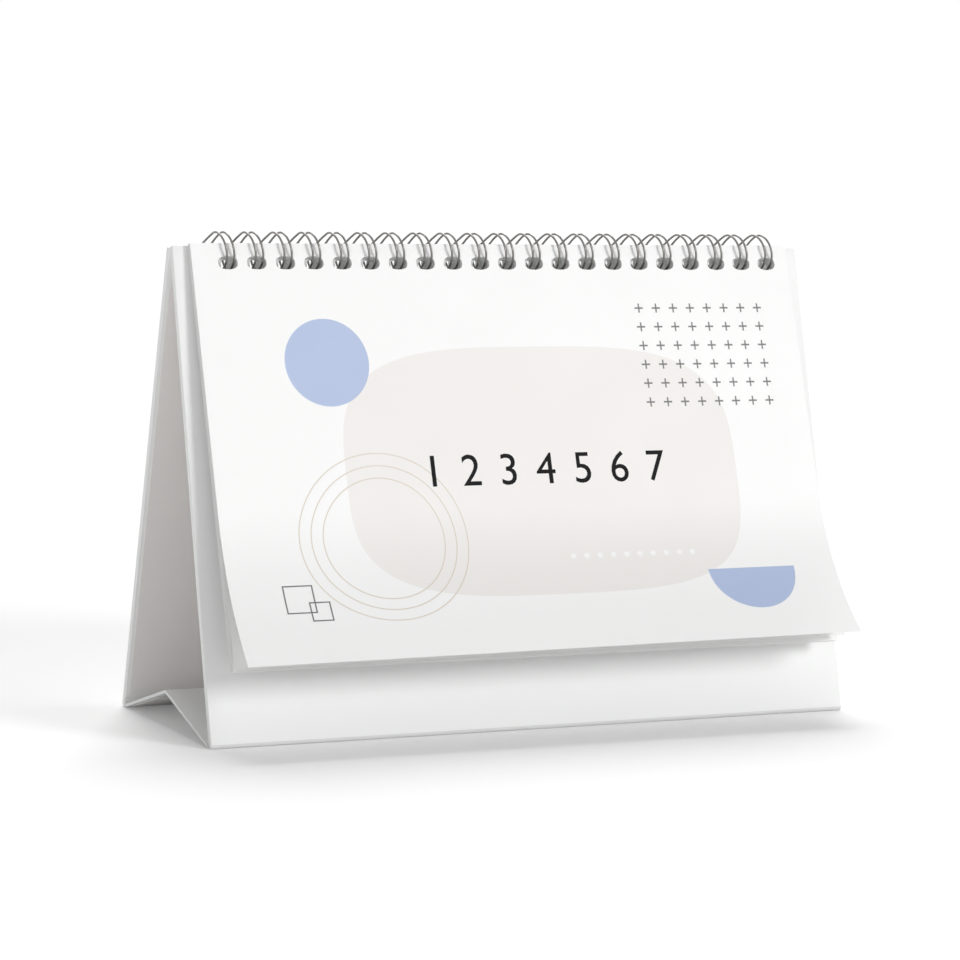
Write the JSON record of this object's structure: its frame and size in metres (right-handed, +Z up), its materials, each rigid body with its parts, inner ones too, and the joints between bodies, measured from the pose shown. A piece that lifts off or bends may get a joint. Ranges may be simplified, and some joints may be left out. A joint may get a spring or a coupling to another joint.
{
  "type": "pyramid desk calendar",
  "caption": "Desk calendar on a folding pyramid stand of two leaning boards and a ridged base, with a twin-loop wire along the top and a hanging pad of punched leaves.",
  "frame": {"origin": "on the table, under the middle of the calendar's bounding box", "axes": "+X to the right along the width as the reader sees it, +Y away from the reader, +Z up"},
  "size_m": [0.196, 0.091, 0.1376],
  "materials": {
    "wrapped_board": "smooth white wrapping paper over greyboard",
    "lining_paper": "matt white lining paper",
    "crease_paper": "smooth white wrapping paper",
    "leaf_paper": "smooth white uncoated leaf",
    "cover_paper": "smooth white leaf, printed in pale colours",
    "coated_wire": "satin grey coating on steel wire"
  },
  "bodies": {
    "stand_front": {"front_board": "wrapped_board", "front_board_liner": "lining_paper", "wire_binding": "coated_wire", "front_crease": "crease_paper"},
    "stand_back": {"back_board": "wrapped_board", "back_board_liner": "lining_paper", "rear_crease": "crease_paper"},
    "base_front": {"base_front_panel": "wrapped_board", "base_front_liner": "lining_paper", "base_front_ridge": "wrapped_board"},
    "base_rear": {"base_rear_panel": "wrapped_board", "base_rear_liner": "lining_paper", "base_rear_ridge": "wrapped_board"},
    "leaf_6": {"month_leaf_6": "leaf_paper"},
    "leaf_5": {"month_leaf_5": "leaf_paper"},
    "leaf_4": {"month_leaf_4": "leaf_paper"},
    "leaf_3": {"month_leaf_3": "leaf_paper"},
    "leaf_2": {"month_leaf_2": "leaf_paper"},
    "leaf_1": {"month_leaf_1": "leaf_paper"},
    "cover": {"cover_leaf": "cover_paper"}
  },
  "joints": [
    {"name": "stand_fold", "type": "hinge", "parent": "stand_front", "child": "stand_back", "pos_m": [0, 0.00737, 0.13218], "axis": [-1, 0, 0], "range_deg": [0, 27.8]},
    {"name": "base_front_fold", "type": "hinge", "parent": "stand_front", "child": "base_front", "pos_m": [0, -0.02645, 0.0013], "axis": [1, 0, 0], "range_deg": [0, 59.68], "deforming": ["front_crease", "base_front_ridge"]},
    {"name": "base_rear_fold", "type": "hinge", "parent": "stand_back", "child": "base_rear", "pos_m": [0, 0.04305, 0.0013], "axis": [-1, 0, 0], "range_deg": [0, 59.68], "deforming": ["rear_crease", "base_rear_ridge"]},
    {"name": "leaf_6_turn", "type": "hinge", "parent": "stand_front", "child": "leaf_6", "pos_m": [0, 0.00737, 0.13218], "axis": [-1, 0, 0], "range_deg": [0, 5]},
    {"name": "leaf_5_turn", "type": "hinge", "parent": "leaf_6", "child": "leaf_5", "pos_m": [0, 0.00737, 0.13218], "axis": [-1, 0, 0], "range_deg": [0, 5]},
    {"name": "leaf_4_turn", "type": "hinge", "parent": "leaf_5", "child": "leaf_4", "pos_m": [0, 0.00737, 0.13218], "axis": [-1, 0, 0], "range_deg": [0, 5]},
    {"name": "leaf_3_turn", "type": "hinge", "parent": "leaf_4", "child": "leaf_3", "pos_m": [0, 0.00737, 0.13218], "axis": [-1, 0, 0], "range_deg": [0, 5]},
    {"name": "leaf_2_turn", "type": "hinge", "parent": "leaf_3", "child": "leaf_2", "pos_m": [0, 0.00737, 0.13218], "axis": [-1, 0, 0], "range_deg": [0, 5]},
    {"name": "leaf_1_turn", "type": "hinge", "parent": "leaf_2", "child": "leaf_1", "pos_m": [0, 0.00737, 0.13218], "axis": [-1, 0, 0], "range_deg": [0, 5]},
    {"name": "cover_turn", "type": "hinge", "parent": "leaf_1", "child": "cover", "pos_m": [0, 0.00737, 0.13218], "axis": [-1, 0, 0], "range_deg": [0, 118]}
  ],
  "couplings": [
    {"joint": "base_front_fold", "follows": "stand_fold", "ratio": 2.1466},
    {"joint": "base_rear_fold", "follows": "stand_fold", "ratio": 2.1466}
  ]
}
